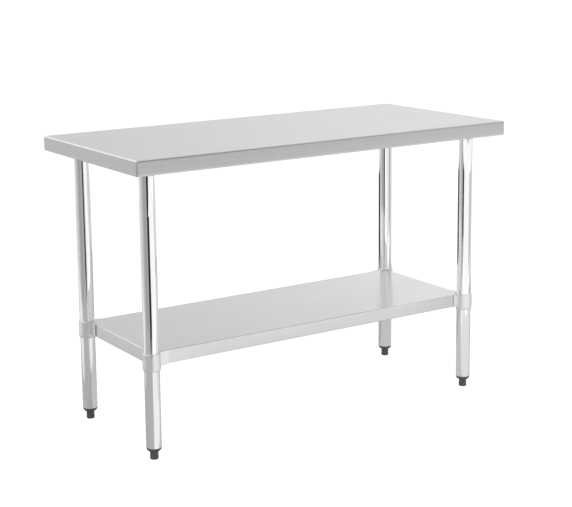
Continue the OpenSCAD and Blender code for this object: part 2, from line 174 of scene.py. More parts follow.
seen = node(room, "LightPath")
white = node(room, "Mix", data_type="RGBA")
white.inputs[7].default_value = (PAPER_WHITE, PAPER_WHITE, PAPER_WHITE, 1)
wire(room, seen.outputs["Is Camera Ray"], white.inputs[0])
wire(room, brighter.outputs[0], white.inputs[6])
wire(room, white.outputs[2], background.inputs["Color"])


def studio_board(name, points, faces, grey, lit_by=0.0):
    """A studio board which only reflections see."""
    board = bpy.data.meshes.new(name)
    board.from_pydata(points, [], faces)
    paint = bpy.data.materials.new(name)
    paint.use_nodes = True
    skin = paint.node_tree.nodes["Principled BSDF"]
    skin.inputs["Base Color"].default_value = (grey, grey, grey, 1)
    skin.inputs["Roughness"].default_value = 0.9
    skin.inputs["Emission Color"].default_value = (1, 1, 1, 1)
    skin.inputs["Emission Strength"].default_value = lit_by
    board.materials.append(paint)
    made = bpy.data.objects.new(name, board)
    bpy.context.collection.objects.link(made)
    made.visible_camera = False
    made.visible_shadow = False
    made.visible_diffuse = lit_by > 0


def stand(name, corners, bottom, top, grey, lit_by=0.0):
    """An upright board from one plan corner to the next."""
    low = [(x, y, bottom) for x, y in corners]
    high = [(x, y, top) for x, y in corners]
    n = len(corners)
    studio_board(name, low + high, [(i, i + 1, n + i + 1, n + i) for i in range(n - 1)], grey, lit_by)


def lay(name, corners, height, lit_by):
    """A white card lying level at a height."""
    points = [(x, y, height) for x, y in corners]
    studio_board(name, points, [tuple(range(len(points)))], 0.0, lit_by)


CARD_CORNER = (-0.71, -1.11)
CARD_TOP = 0.68
CARD_LIGHT = 1.08
ON_FLOOR = 0.002
FRONT_LINE = -0.3
SPLIT_LINE = -0.1
BLACK_CLOTH = 0.004
stand("white_card", [CARD_CORNER, (1.20, -1.16)], 0.0, CARD_TOP, 0.0, lit_by=CARD_LIGHT)
lay("hood_card", [CARD_CORNER, (1.5, -1.13), (1.5, -0.36), (-0.64, -0.36)], CARD_TOP + 0.01, CARD_LIGHT)
# The floor cards glow instead of being lit, as painted light of the floor that only reflections and
# diffuse rays see: brighter before the table and at the back left, and under the table a dimmer card that
# is painted shade of the table's shadow on the floor.
lay("floor_card_left", [(-0.95, -1.2), (SPLIT_LINE, -1.2), (SPLIT_LINE, FRONT_LINE), (-0.62, FRONT_LINE)],
    ON_FLOOR, 0.96)
lay("floor_card_right", [(SPLIT_LINE, -1.2), (1.6, -1.2), (1.6, FRONT_LINE), (SPLIT_LINE, FRONT_LINE)],
    ON_FLOOR, 0.80)
lay("floor_shade_card_under", [(-0.56, FRONT_LINE), (1.1, FRONT_LINE), (1.1, 0.3), (-0.56, 0.3)], ON_FLOOR, 0.58)
lay("floor_card_back", [(-2.0, 0.30), (-0.95, 0.30), (-0.95, 1.7), (-2.0, 1.7)], ON_FLOOR, 0.88)
stand("card_foot", [(-0.70, -1.105), (1.9, -1.15)], 0.003, 0.10, 0.0, lit_by=1.35)
stand("dark_board", [(-0.55, 1.50), (1.40, 1.50)], 0.0, 0.44, BLACK_CLOTH)
stand("black_boards", [CARD_CORNER, (-0.857, -0.565), (-1.134, -0.919)], 0.17, 0.76, BLACK_CLOTH)

FLOOR_RADIUS = 2.0
floor_mesh = bpy.data.meshes.new("floor")
bm = bmesh.new()
bmesh.ops.create_circle(bm, cap_ends=True, radius=FLOOR_RADIUS, segments=96)
bm.to_mesh(floor_mesh)
bm.free()
floor = bpy.data.objects.new("floor", floor_mesh)
bpy.context.collection.objects.link(floor)
paper = bpy.data.materials.new("pale_floor")
paper.use_nodes = True
matt = paper.node_tree.nodes["Principled BSDF"]
matt.inputs["Base Color"].default_value = (0.50, 0.50, 0.495, 1)
matt.inputs["Roughness"].default_value = 0.8
clean = node(paper, "Emission", Strength=PAPER_WHITE)
either = node(paper, "MixShader")
seen = node(paper, "LightPath")
wire(paper, seen.outputs["Is Camera Ray"], either.inputs[0])
wire(paper, matt.outputs[0], either.inputs[1])
wire(paper, clean.outputs[0], either.inputs[2])
wire(paper, either.outputs[0], paper.node_tree.nodes["Material Output"].inputs["Surface"])
floor_mesh.materials.append(paper)


# ---- Worktop ----
# One sheet of 1.5 mm stainless, brushed along its length. All four edges are folded down and a
# narrow lip is folded in under each; the upright corners are welded and dressed round.
SHEET = 0.0015
FOLD = 0.005
LIP = 0.015
LIP_SLIT = 0.0006
FOLD_STEPS = 7
CORNER_EXTRA = 0.0004
SMALLEST_CORNER = 0.0003
LEVEL_FACE = 0.9
FINE_LINES = (9.0, 2600.0, 1.0)
BROAD_LINES = (1.6, 140.0, 1.0)
HANDLING = (3.0, 9.0, 1.0)


def finish(name, colour, metal, roughness):
    """A new finish: its material and the shader in it."""
    material = bpy.data.materials.new(name)
    material.use_nodes = True
    shader = material.node_tree.nodes["Principled BSDF"]
    shader.inputs["Base Color"].default_value = (*colour, 1)
    shader.inputs["Metallic"].default_value = metal
    shader.inputs["Roughness"].default_value = roughness
    return material, shader


def grain(material, places, stretch, detail=3.0, roughness=0.55):
    """Noise drawn out along a direction: the socket of its value, about 0.5 on average."""
    drawn = node(material, "Mapping")
    drawn.inputs["Scale"].default_value = stretch
    noise = node(material, "TexNoise", Scale=1.0, Detail=detail, Roughness=roughness)
    wire(material, places, drawn.inputs["Vector"])
    wire(material, drawn.outputs[0], noise.inputs["Vector"])
    return noise.outputs["Fac"]


def spread(material, value, low, high, ends=(0.3, 0.7)):
    """A value moved from one range to another."""
    moved = node(material, "MapRange")
    moved.inputs["From Min"].default_value = ends[0]
    moved.inputs["From Max"].default_value = ends[1]
    moved.inputs["To Min"].default_value = low
    moved.inputs["To Max"].default_value = high
    wire(material, value, moved.inputs["Value"])
    return moved.outputs["Result"]


def added(material, first, second, operation="ADD"):
    """Two values added, or joined by another sum."""
    total = node(material, "Math", operation=operation)
    wire(material, first, total.inputs[0])
    wire(material, second, total.inputs[1])
    return total.outputs[0]


def tinted(material, value, dark, light):
    """A colour between dark and light, by a value from 0 to 1."""
    mixed = node(material, "Mix", data_type="RGBA")
    mixed.inputs[6].default_value = (*dark, 1)
    mixed.inputs[7].default_value = (*light, 1)
    wire(material, value, mixed.inputs[0])
    return mixed.outputs[2]


def raised(material, shader, value, height, strength=1.0):
    """Relief on a finish, with its height in metres."""
    relief = node(material, "Bump", Strength=strength, Distance=height)
    wire(material, value, relief.inputs["Height"])
    wire(material, relief.outputs[0], shader.inputs["Normal"])
    return relief


def brushed_sheet(name, dark, light, roughness, draw):
    """Stainless sheet brushed along its length, with faint handling marks."""
    steel, shader = finish(name, light, 1.0, roughness)
    shader.inputs["Anisotropic"].default_value = draw
    shader.inputs["Anisotropic Rotation"].default_value = 0.25
    along = node(steel, "Tangent", direction_type="UV_MAP", uv_map="sheet")
    wire(steel, along.outputs[0], shader.inputs["Tangent"])
    flat = node(steel, "UVMap", uv_map="sheet").outputs[0]
    fine = grain(steel, flat, FINE_LINES)
    broad = grain(steel, flat, BROAD_LINES, detail=2.0)
    marks = grain(steel, flat, HANDLING, detail=4.0, roughness=0.6)
    lines = added(steel, spread(steel, fine, 0.0, 0.6), spread(steel, broad, 0.0, 0.4))
    wire(steel, tinted(steel, lines, dark, light), shader.inputs["Base Color"])
    rough = added(steel, spread(steel, fine, roughness - 0.03, roughness + 0.03),
                  spread(steel, marks, -0.01, 0.015))
    wire(steel, rough, shader.inputs["Roughness"])
    raised(steel, shader, fine, 0.000012, strength=0.6)
    return steel


def rounded_ring(length, depth, inset, corner, z):
    """Points round a sheet, inset from its edge, with every ring having the same count."""
    points = []
    radius = max(corner - inset, SMALLEST_CORNER)
    for turn_at, (side_x, side_y) in enumerate([(1, 1), (-1, 1), (-1, -1), (1, -1)]):
        centre_x = side_x * (length / 2 - inset - radius)
        centre_y = side_y * (depth / 2 - inset - radius)
        for step in range(FOLD_STEPS + 1):
            angle = math.radians(90 * (turn_at + step / FOLD_STEPS))
            points.append(Vector((centre_x + radius * math.cos(angle),
                                  centre_y + radius * math.sin(angle), z)))
    return points


def lay_flat(sheet_mesh, length, depth, top):
    """Gives every face its place on the unfolded sheet, so that the brushing follows the folds."""
    uv = sheet_mesh.loops.layers.uv.new("sheet")
    for face in sheet_mesh.faces:
        middle = face.calc_center_median()
        past_end = abs(middle.x) - (length - depth) / 2
        end_face = past_end > abs(middle.y) and abs(face.normal.z) < LEVEL_FACE
        for loop in face.loops:
            x, y, z = loop.vert.co
            fall = top - z
            if end_face:
                loop[uv].uv = (math.copysign(length / 2 + fall, x), y)
            elif abs(face.normal.z) < LEVEL_FACE:
                loop[uv].uv = (x, math.copysign(depth / 2 + fall, y))
            else:
                loop[uv].uv = (x, y)


def crisp(piece, angle=32):
    """Applies a piece's modifiers, smooths its faces and keeps its true edges sharp."""
    depsgraph = bpy.context.evaluated_depsgraph_get()
    solid = bpy.data.meshes.new_from_object(piece.evaluated_get(depsgraph))
    piece.modifiers.clear()
    piece.data = solid
    bm = bmesh.new()
    bm.from_mesh(solid)
    for face in bm.faces:
        face.smooth = True
    for edge in bm.edges:
        edge.smooth = len(edge.link_faces) == 2 and edge.calc_face_angle(0) < math.radians(angle)
    bm.to_mesh(solid)
    bm.free()
    weighted = piece.modifiers.new("weighted", "WEIGHTED_NORMAL")
    weighted.keep_sharp = True
    return piece


def piece_from(name, bm, material):
    """A piece of the table made from the mesh under construction."""
    made = bpy.data.meshes.new(name)
    bm.to_mesh(made)
    bm.free()
    made.materials.append(material)
    piece = bpy.data.objects.new(name, made)
    bpy.context.collection.objects.link(piece)
    return piece


def fit(piece, body, slot, *plain):
    """Sets a finished piece on its body, in place of its plain CAD nodes."""
    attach(piece, body)
    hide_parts(*plain)
    return piece


def folded_sheet(name, low, high, sheet, fold, material):
    """A sheet folded down all round between two corners, with a mitred lip turned in below."""
    length, depth = high.x - low.x, high.y - low.y
    corner = fold + CORNER_EXTRA
    bm = bmesh.new()
    quarter = [math.radians(90 * i / FOLD_STEPS) for i in range(FOLD_STEPS + 1)]
    section = [(fold * (1 - math.sin(a)), high.z - fold * (1 - math.cos(a))) for a in quarter]
    section += [(fold * (1 - math.cos(a)), low.z + fold * (1 - math.sin(a))) for a in quarter]
    rings = [[bm.verts.new(p) for p in rounded_ring(length, depth, inset, corner, z)]
             for inset, z in section]
    bm.faces.new(rings[0])
    for outer, inner in zip(rings, rings[1:]):
        for i, vertex in enumerate(outer):
            j = (i + 1) % len(outer)
            bm.faces.new((vertex, inner[i], inner[j], outer[j]))
    for side in range(4):
        last = side * (FOLD_STEPS + 1) + FOLD_STEPS
        first = (last + 1) % (4 * (FOLD_STEPS + 1))
        a, b = rings[-1][last], rings[-1][first]
        along = (b.co - a.co).normalized()
        inward = Vector((-along.y, along.x, 0))
        reach = LIP - fold
        slit = along * (reach + LIP_SLIT)
        bm.faces.new((a, bm.verts.new(a.co + inward * reach + slit),
                      bm.verts.new(b.co + inward * reach - slit), b))
    bmesh.ops.recalc_face_normals(bm, faces=bm.faces)
    if max(bm.faces, key=lambda f: f.calc_area()).normal.z < 0:
        bmesh.ops.reverse_faces(bm, faces=bm.faces)
    lay_flat(bm, length, depth, high.z)
    piece = piece_from(name, bm, material)
    gauge = piece.modifiers.new("gauge", "SOLIDIFY")
    gauge.thickness = sheet
    gauge.offset = -1
    gauge.use_even_offset = True
    return piece


worktop_steel = brushed_sheet("worktop_steel", (0.60, 0.605, 0.60), (0.70, 0.705, 0.70), 0.34, 0.75)
worktop = folded_sheet("worktop_sheet", *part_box("worktop"), SHEET, FOLD, worktop_steel)
fit(crisp(worktop), "table", "worktop_steel", "worktop")


# ---- Top channels ----
# Three hat channels folded from galvanised sheet keep the worktop stiff: one along it, and one
# across it over each pair of legs. They are bought-in coated sheet with a faint spangle.
def galvanised_sheet():
    """Zinc coated sheet: dull, with crystals of slightly different greys."""
    zinc, shader = finish("galvanised", (0.55, 0.57, 0.58), 1.0, 0.42)
    places = node(zinc, "TexCoord").outputs["Object"]
    crystals = node(zinc, "TexVoronoi", Scale=95.0, Randomness=1.0)
    wire(zinc, places, crystals.inputs["Vector"])
    grey = node(zinc, "SeparateColor")
    wire(zinc, crystals.outputs["Color"], grey.inputs[0])
    wire(zinc, tinted(zinc, grey.outputs[0], (0.46, 0.48, 0.49), (0.60, 0.615, 0.62)),
         shader.inputs["Base Color"])
    wire(zinc, spread(zinc, grey.outputs[1], 0.34, 0.52, (0, 1)), shader.inputs["Roughness"])
    rolled = grain(zinc, places, (40.0, 40.0, 40.0), detail=5.0)
    raised(zinc, shader, rolled, 0.0001, strength=0.35)
    return zinc


galvanised = galvanised_sheet()


def clad(name, material):
    """Gives a CAD node its finish, where its own shape is already right."""
    part = frame["nodes"][name]
    part.data.materials.clear()
    part.data.materials.append(material)


for name in ("top_channel_long", "top_channel_left", "top_channel_right", "shelf_channel"):
    clad(name, galvanised)


# ---- Deadening strips ----
# Strips of black foam rubber between the channels and the sheets. The studs squeeze them, so
# their edges bulge a little and are never quite straight.
def foam_rubber():
    """Matt black closed-cell foam."""
    foam, shader = finish("foam_rubber", (0.035, 0.035, 0.038), 0.0, 0.9)
    places = node(foam, "TexCoord").outputs["Object"]
    cells = node(foam, "TexVoronoi", Scale=1400.0)
    wire(foam, places, cells.inputs["Vector"])
    dust = grain(foam, places, (60.0, 60.0, 60.0), detail=4.0)
    wire(foam, tinted(foam, spread(foam, dust, 0, 1), (0.022, 0.022, 0.024), (0.06, 0.06, 0.062)),
         shader.inputs["Base Color"])
    raised(foam, shader, cells.outputs["Distance"], 0.0003, strength=0.7)
    return foam


def solids_of(name):
    """Boxes of the separate solids in a CAD node that holds a group, as (low, high) pairs."""
    source = frame["nodes"][name].data
    bm = bmesh.new()
    bm.from_mesh(source)
    bmesh.ops.remove_doubles(bm, verts=bm.verts, dist=0.00002)
    found, seen_verts = [], set()
    for start in bm.verts:
        if start in seen_verts:
            continue
        seen_verts.add(start)
        group, waiting = [], [start]
        while waiting:
            vertex = waiting.pop()
            group.append(vertex.co.copy())
            for edge in vertex.link_edges:
                other = edge.other_vert(vertex)
                if other not in seen_verts:
                    seen_verts.add(other)
                    waiting.append(other)
        found.append((Vector([min(p[i] for p in group) for i in range(3)]),
                      Vector([max(p[i] for p in group) for i in range(3)])))
    bm.free()
    return found


STRIP_BULGE = 0.0006
STRIP_STEP = 0.012
STRIP_EDGE = 0.0004
STRIP_SECTION = [(1, -1), (1, -0.5), (1, 0.5), (1, 1), (-1, 1), (-1, 0.5), (-1, -0.5), (-1, -1)]


def joined(bm, rings):
    """Skins a row of rings of points, each joined to the next."""
    for a, b in zip(rings, rings[1:]):
        for i in range(len(a)):
            j = (i + 1) % len(a)
            bm.faces.new((a[i], a[j], b[j], b[i]))


def squeezed_strip(bm, low, high):
    """One strip: its long edges bulge between the channel and the sheet."""
    size = high - low
    along = 0 if size.x > size.y else 1
    across = 1 - along
    half_width, half_height = size[across] / 2, size.z / 2
    middle = (low + high) / 2
    steps = max(2, round(size[along] / STRIP_STEP))
    rings = []
    for i in range(steps + 1):
        t = low[along] + size[along] * i / steps
        wander = STRIP_BULGE * (0.6 + 0.4 * math.sin(t * 61.0 + middle[across] * 90))
        ring = []
        for side, level in STRIP_SECTION:
            swell = wander * (1 - level * level) - STRIP_EDGE * abs(level)
            place = Vector((0, 0, middle.z + level * half_height))
            place[along] = t
            place[across] = middle[across] + side * (half_width + swell)
            ring.append(bm.verts.new(place))
        rings.append(ring)
    joined(bm, rings)
    bm.faces.new(rings[0])
    bm.faces.new(reversed(rings[-1]))


foam = foam_rubber()
for plain, body in (("top_damping_strips", "table"), ("shelf_damping_strips", "shelf")):
    bm = bmesh.new()
    for low, high in solids_of(plain):
        squeezed_strip(bm, low, high)
    bmesh.ops.recalc_face_normals(bm, faces=bm.faces)
    strips = piece_from(plain.replace("damping", "foam"), bm, foam)
    fit(crisp(strips, 50), body, "damping", plain)


# ---- Weld studs, nuts and socket bolts ----
# Plated steel fasteners. The studs are welded to the underside of the sheets, and hexagon nuts
# pull the channels up to them; larger bolts hold the leg sockets.
THREAD_STEPS = 14
GROOVE_DEPTH = 0.6
HEXAGON_STEPS = 48


def zinc_plate():
    """Bright zinc plating with a faint yellow cast where it is thicker."""
    plate, shader = finish("zinc_plate", (0.66, 0.66, 0.64), 1.0, 0.28)
    places = node(plate, "TexCoord").outputs["Object"]
    cloud = grain(plate, places, (170.0, 170.0, 170.0), detail=3.0)
    wire(plate, tinted(plate, spread(plate, cloud, 0, 1), (0.56, 0.56, 0.53), (0.72, 0.72, 0.71)),
         shader.inputs["Base Color"])
    wire(plate, spread(plate, cloud, 0.22, 0.36), shader.inputs["Roughness"])
    raised(plate, shader, grain(plate, places, (900.0, 900.0, 900.0)), 0.00004, strength=0.4)
    return plate


def threaded_rod(bm, centre, bottom, top, radius, pitch, steps=THREAD_STEPS):
    """A rod with a real helical thread, standing on bottom."""
    groove = GROOVE_DEPTH * pitch
    turns = (top - bottom) / pitch
    rows = []
    for i in range(int(turns * steps) + 1):
        angle = 2 * math.pi * i / steps
        z = bottom + pitch * i / steps
        crest = [(radius, 0.0), (radius, 0.12), (radius - groove, 0.5), (radius - groove, 0.62)]
        row = []
        for r, rise in crest:
            level = min(max(z + (rise - 1) * pitch, bottom), top)
            near_end = min(top - level, level - bottom, pitch) / pitch
            r = r - 0.4 * groove * (1 - near_end)
            row.append(bm.verts.new((centre.x + r * math.cos(angle),
                                     centre.y + r * math.sin(angle), level)))
        rows.append(row)
    for a, b in zip(rows, rows[1:]):
        for i in range(3):
            bm.faces.new((a[i], b[i], b[i + 1], a[i + 1]))
    for i in range(len(rows) - steps - 1):
        bm.faces.new((rows[i][3], rows[i + 1][3], rows[i + steps + 1][0], rows[i + steps][0]))
    for end, rise in ((rows[:steps], bottom), (rows[-steps:], top)):
        hub = bm.verts.new((centre.x, centre.y, rise))
        for i in range(steps - 1):
            place = 0 if rise == bottom else 3
            bm.faces.new((end[i][place], end[i + 1][place], hub))


def hexagon(bm, centre, low, high, across, bore, crown_up=True):
    """A hexagon with its corners turned off at 30 degrees, with a plain round hole if bore isn't 0."""
    steps = HEXAGON_STEPS
    tall = high - low
    apothem = across / 2
    flat_edge = apothem * 0.96
    rings = []
    for level in range(5 if bore else 4):
        ring = []
        for i in range(steps):
            angle = 2 * math.pi * i / steps
            side = (angle + math.pi / 6) % (math.pi / 3) - math.pi / 6
            reach = apothem / math.cos(side)
            cut = (reach - flat_edge) * math.tan(math.radians(30))
            if level == 0:
                r, z = flat_edge, 0.0
            elif level == 1:
                r, z = reach, cut if bore else 0.25 * cut
            elif level == 2:
                r, z = reach, tall - cut
            elif level == 3:
                r, z = flat_edge, tall
            else:
                r, z = bore * 1.12, tall
            z = low + z if crown_up else high - z
            ring.append(bm.verts.new((centre.x + r * math.cos(angle),
                                      centre.y + r * math.sin(angle), z)))
        rings.append(ring)
    joined(bm, rings)
    if not bore:
        bm.faces.new(rings[0])
        bm.faces.new(rings[3])
        return
    inside = []
    for r, z in ((bore, high - 0.12 * bore), (bore, low + 0.12 * bore), (bore * 1.12, low)):
        level = z if crown_up else high + low - z
        inside.append([bm.verts.new((centre.x + r * math.cos(2 * math.pi * i / steps),
                                     centre.y + r * math.sin(2 * math.pi * i / steps), level))
                       for i in range(steps)])
    joined(bm, [rings[4], *inside, rings[0]])


zinc_plated = zinc_plate()
STUD_NECK = 0.003
STUD_THREAD = 0.006
STUD_PITCH = 0.001
BOLT_THREAD = 0.008
BOLT_PITCH = 0.00125
BOLT_HEAD = 0.0052


def stud_set(name, plain, body, pitch):
    """All the studs of a CAD group: a plain welded neck and a thread below it."""
    bm = bmesh.new()
    for low, high in solids_of(plain):
        centre = (low + high) / 2
        radius = (high.x - low.x) / 2
        threaded_rod(bm, centre, low.z, high.z - STUD_NECK, radius, pitch)
        neck = bmesh.ops.create_cone(bm, cap_ends=True, segments=24, radius1=radius * 0.92,
                                     radius2=radius, depth=STUD_NECK + 0.0002)
        bmesh.ops.translate(bm, verts=neck["verts"],
                            vec=(centre.x, centre.y, high.z - STUD_NECK / 2 - 0.0001))
    bmesh.ops.recalc_face_normals(bm, faces=bm.faces)
    fit(crisp(piece_from(name, bm, zinc_plated), 40), body, "plated_fasteners", plain)


def nut_set(name, plain, body, thread):
    """All the nuts of a CAD group."""
    bm = bmesh.new()
    for low, high in solids_of(plain):
        across = (high.x - low.x) * math.cos(math.radians(30))
        hexagon(bm, (low + high) / 2, low.z, high.z, across, thread / 2)
    bmesh.ops.recalc_face_normals(bm, faces=bm.faces)
    fit(crisp(piece_from(name, bm, zinc_plated), 25), body, "plated_fasteners", plain)


stud_set("channel_weld_studs", "channel_studs", "table", STUD_PITCH)
stud_set("shelf_weld_studs", "shelf_studs", "shelf", STUD_PITCH)
nut_set("channel_hex_nuts", "channel_nuts", "table", STUD_THREAD)
nut_set("shelf_hex_nuts", "shelf_nuts", "shelf", STUD_THREAD)
nut_set("socket_hex_nuts", "socket_nuts", "table", BOLT_THREAD)

bm = bmesh.new()
for low, high in solids_of("socket_bolts"):
    centre = (low + high) / 2
    across = (high.x - low.x) * math.cos(math.radians(30))
    hexagon(bm, centre, low.z, low.z + BOLT_HEAD, across, 0, crown_up=False)
    threaded_rod(bm, centre, low.z + BOLT_HEAD, high.z, BOLT_THREAD / 2, BOLT_PITCH)
bmesh.ops.recalc_face_normals(bm, faces=bm.faces)
bolts = piece_from("socket_hex_bolts", bm, zinc_plated)
fit(crisp(bolts, 25), "table", "plated_fasteners", "socket_bolts")


# ---- Leg sockets ----
# Four aluminium castings bolted under the cross channels: a plate, a sleeve for the tube and two
# ribs. They are left as cast, so every inside edge is filleted and the skin is slightly grainy.
CAST_VOXEL = 0.0007
CAST_FACES = 26000
CAST_EASE = 0.35
CAST_PASSES = 4


def cast_skin():
    """Satin cast aluminium: a fine orange-peel skin with duller patches."""
    cast, shader = finish("cast_aluminium", (0.78, 0.78, 0.775), 0.75, 0.34)
    places = node(cast, "TexCoord").outputs["Object"]
    patches = grain(cast, places, (75.0, 75.0, 75.0), detail=4.0)
    skin = grain(cast, places, (1100.0, 1100.0, 1100.0), detail=2.0)
    wire(cast, tinted(cast, spread(cast, patches, 0, 1), (0.74, 0.74, 0.735), (0.80, 0.80, 0.795)),
         shader.inputs["Base Color"])
    wire(cast, added(cast, spread(cast, patches, 0.30, 0.38), spread(cast, skin, -0.02, 0.04)),
         shader.inputs["Roughness"])
    raised(cast, shader, skin, 0.00003, strength=0.08)
    return cast


def casting(name, plain, material):
    """A CAD solid recast with soft edges: refined to an even skin, relaxed and thinned out again."""
    bm = bmesh.new()
    bm.from_mesh(frame["nodes"][plain].data)
    bmesh.ops.remove_doubles(bm, verts=bm.verts, dist=0.00001)
    piece = piece_from(name, bm, material)
    skin = piece.modifiers.new("skin", "REMESH")
    skin.mode = "VOXEL"
    skin.voxel_size = CAST_VOXEL
    relax = piece.modifiers.new("relax", "LAPLACIANSMOOTH")
    relax.lambda_factor = CAST_EASE
    relax.iterations = CAST_PASSES
    relax.use_volume_preserve = True
    depsgraph = bpy.context.evaluated_depsgraph_get()
    dense = bpy.data.meshes.new_from_object(piece.evaluated_get(depsgraph))
    piece.modifiers.clear()
    piece.data = dense
    thin = piece.modifiers.new("thin", "DECIMATE")
    thin.ratio = min(1.0, CAST_FACES / max(1, 2 * len(dense.polygons)))
    return crisp(piece, 60)


CORNERS = ("fl", "fr", "bl", "br")
cast_aluminium = cast_skin()
for corner in CORNERS:
    socket = casting(f"socket_casting_{corner}", f"leg_socket_{corner}", cast_aluminium)
    fit(socket, "table", "cast_aluminium", f"leg_socket_{corner}")


# ---- Set screws ----
# Black hexagon-socket screws: one pins each tube in its socket, and one clamps each shelf bracket
# to its tube, from the side that faces inwards.
def black_oxide():
    """Blackened steel, slightly oily and rubbed bright here and there."""
    black, shader = finish("black_oxide", (0.04, 0.04, 0.045), 0.85, 0.38)
    places = node(black, "TexCoord").outputs["Object"]
    rubbed = grain(black, places, (420.0, 420.0, 420.0), detail=4.0)
    wire(black, tinted(black, spread(black, rubbed, 0, 1, (0.45, 0.75)), (0.03, 0.03, 0.034),
                       (0.13, 0.13, 0.135)), shader.inputs["Base Color"])
    wire(black, spread(black, rubbed, 0.42, 0.30), shader.inputs["Roughness"])
    raised(black, shader, rubbed, 0.00005, strength=0.4)
    return black


black_screws = black_oxide()
for name in ("socket_set_screws", "bracket_set_screws"):
    clad(name, black_screws)


# ---- Legs ----
# Four welded stainless tubes, polished to a mirror along their length. Their ends are sawn square
# and deburred; the upper end stands in the socket, the lower end is closed by the foot's insert.
TUBE_WALL = 0.0015
TUBE_STEPS = 128
BURR = 0.0003


def lathe(name, outline, centre, material, steps=96):
    """A turned or moulded round piece from its closed outline of (radius, height) points."""
    bm = bmesh.new()
    rings = []
    for r, z in outline:
        if r < 1e-7:
            rings.append([bm.verts.new((centre[0], centre[1], z))])
            continue
        rings.append([bm.verts.new((centre[0] + r * math.cos(2 * math.pi * i / steps),
                                    centre[1] + r * math.sin(2 * math.pi * i / steps), z))
                      for i in range(steps)])
    for a, b in zip(rings, rings[1:] + rings[:1]):
        if len(a) == 1 and len(b) == 1:
            continue
        for i in range(steps):
            j = (i + 1) % steps
            corners = [a[i % len(a)], a[j % len(a)], b[j % len(b)], b[i % len(b)]]
            bm.faces.new(list(dict.fromkeys(corners)))
    bmesh.ops.recalc_face_normals(bm, faces=bm.faces)
    return piece_from(name, bm, material)


def polished_tube():
    """Mirror-polished stainless with the faint lengthwise ripple of a drawn tube."""
    mirror, shader = finish("polished_tube", (0.86, 0.862, 0.86), 1.0, 0.07)
    places = node(mirror, "TexCoord").outputs["Object"]
    ripple = grain(mirror, places, (260.0, 260.0, 2.2), detail=3.0)
    haze = grain(mirror, places, (900.0, 900.0, 14.0), detail=3.0)
    smears = grain(mirror, places, (30.0, 30.0, 12.0), detail=4.0)
    wire(mirror, tinted(mirror, spread(mirror, haze, 0, 1), (0.82, 0.822, 0.82), (0.89, 0.892, 0.89)),
         shader.inputs["Base Color"])
    wire(mirror, added(mirror, spread(mirror, haze, 0.045, 0.085), spread(mirror, smears, 0.0, 0.03)),
         shader.inputs["Roughness"])
    raised(mirror, shader, ripple, 0.00003, strength=0.25)
    return mirror


def middle_of(name):
    """The upright axis of a round CAD node, and its lowest and highest levels."""
    low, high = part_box(name)
    return ((low.x + high.x) / 2, (low.y + high.y) / 2), low.z, high.z


polished = polished_tube()
for corner in CORNERS:
    axis, bottom, top = middle_of(f"leg_{corner}")
    low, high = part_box(f"leg_{corner}")
    outer = (high.x - low.x) / 2
    inner = outer - TUBE_WALL
    outline = [(outer - BURR, bottom), (outer, bottom + BURR), (outer, (bottom + top) / 2),
               (outer, top - BURR), (outer - BURR, top), (inner + BURR, top), (inner, top - BURR),
               (inner, bottom + BURR), (inner + BURR, bottom)]
    tube = lathe(f"leg_tube_{corner}", outline, axis, polished, TUBE_STEPS)
    fit(crisp(tube, 20), "table", "polished_tube", f"leg_{corner}")


# ---- Undershelf ----
# A thinner sheet folded like the worktop, semi-gloss and brushed along its length. Its four
# corners are cut out round the bracket sleeves, and it is screwed to the brackets' wings.
SHELF_SHEET = 0.0012
SHELF_FOLD = 0.003
NOTCH_GAP = 0.0025
SLEEVE_RADIUS = 0.02625
PUNCH_HEIGHT = 0.08

shelf_steel = brushed_sheet("shelf_steel", (0.61, 0.625, 0.62), (0.69, 0.705, 0.70), 0.24, 0.8)
shelf = folded_sheet("shelf_sheet", *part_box("undershelf"), SHELF_SHEET, SHELF_FOLD, shelf_steel)
shelf_low, shelf_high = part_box("undershelf")
notches = bmesh.new()
for corner in CORNERS:
    axis, _, _ = middle_of(f"leg_{corner}")
    cut = bmesh.ops.create_cone(notches, cap_ends=True, segments=96, radius1=SLEEVE_RADIUS + NOTCH_GAP,
                                radius2=SLEEVE_RADIUS + NOTCH_GAP, depth=PUNCH_HEIGHT)
    bmesh.ops.translate(notches, verts=cut["verts"],
                        vec=(axis[0], axis[1], (shelf_low.z + shelf_high.z) / 2))
punch = piece_from("notch_punch", notches, shelf_steel)
punched = shelf.modifiers.new("notches", "BOOLEAN")
punched.operation = "DIFFERENCE"
punched.solver = "EXACT"
punched.object = punch
crisp(shelf)
bpy.data.objects.remove(punch, do_unlink=True)
fit(shelf, "shelf", "shelf_steel", "undershelf")


# ---- Shelf brackets ----
# Four aluminium castings from one mould, turned to suit each corner: a sleeve that slides on the
# tube, a long and a short wing, and a boss for the set screw.
for corner in CORNERS:
    bracket = casting(f"bracket_casting_{corner}", f"shelf_bracket_{corner}", cast_aluminium)
    fit(bracket, "shelf", "cast_aluminium", f"shelf_bracket_{corner}")

clad("bracket_screws", zinc_plated)


# ---- Feet ----
# Moulded dark grey plastic. A ribbed insert is pressed into the tube and shows as a bowl below it;
# the nose turns in it on a threaded stud to level the table.
BOWL_LIP = 0.001
BOWL_RIM = 0.0012
BOWL_STEPS = 12
RIM_EDGE = 0.0003
PLUG_ROOM = 0.0009
PLUG_EDGE = 0.0008
PLUG_RIBS = 3
RIB_START = 0.004
RIB_SPACING = 0.009
MOUTH_EDGE = 0.0004
HOLE_EDGE = 0.0006
RECESS_RADIUS = 0.0127
BOWL_ROUND = 0.75
RECESS_DEPTH = 0.0256
THREAD_RADIUS = 0.006
PAD_HEIGHT = 0.009
PAD_EDGE = 0.0028
PAD_STEPS = 8
PAD_SWELL = 0.00025
DISH_DEPTH = 0.0012
STUD_HOLE_START = 0.017
STUD_ROOM = 0.0001
FOOT_PITCH = 0.00175


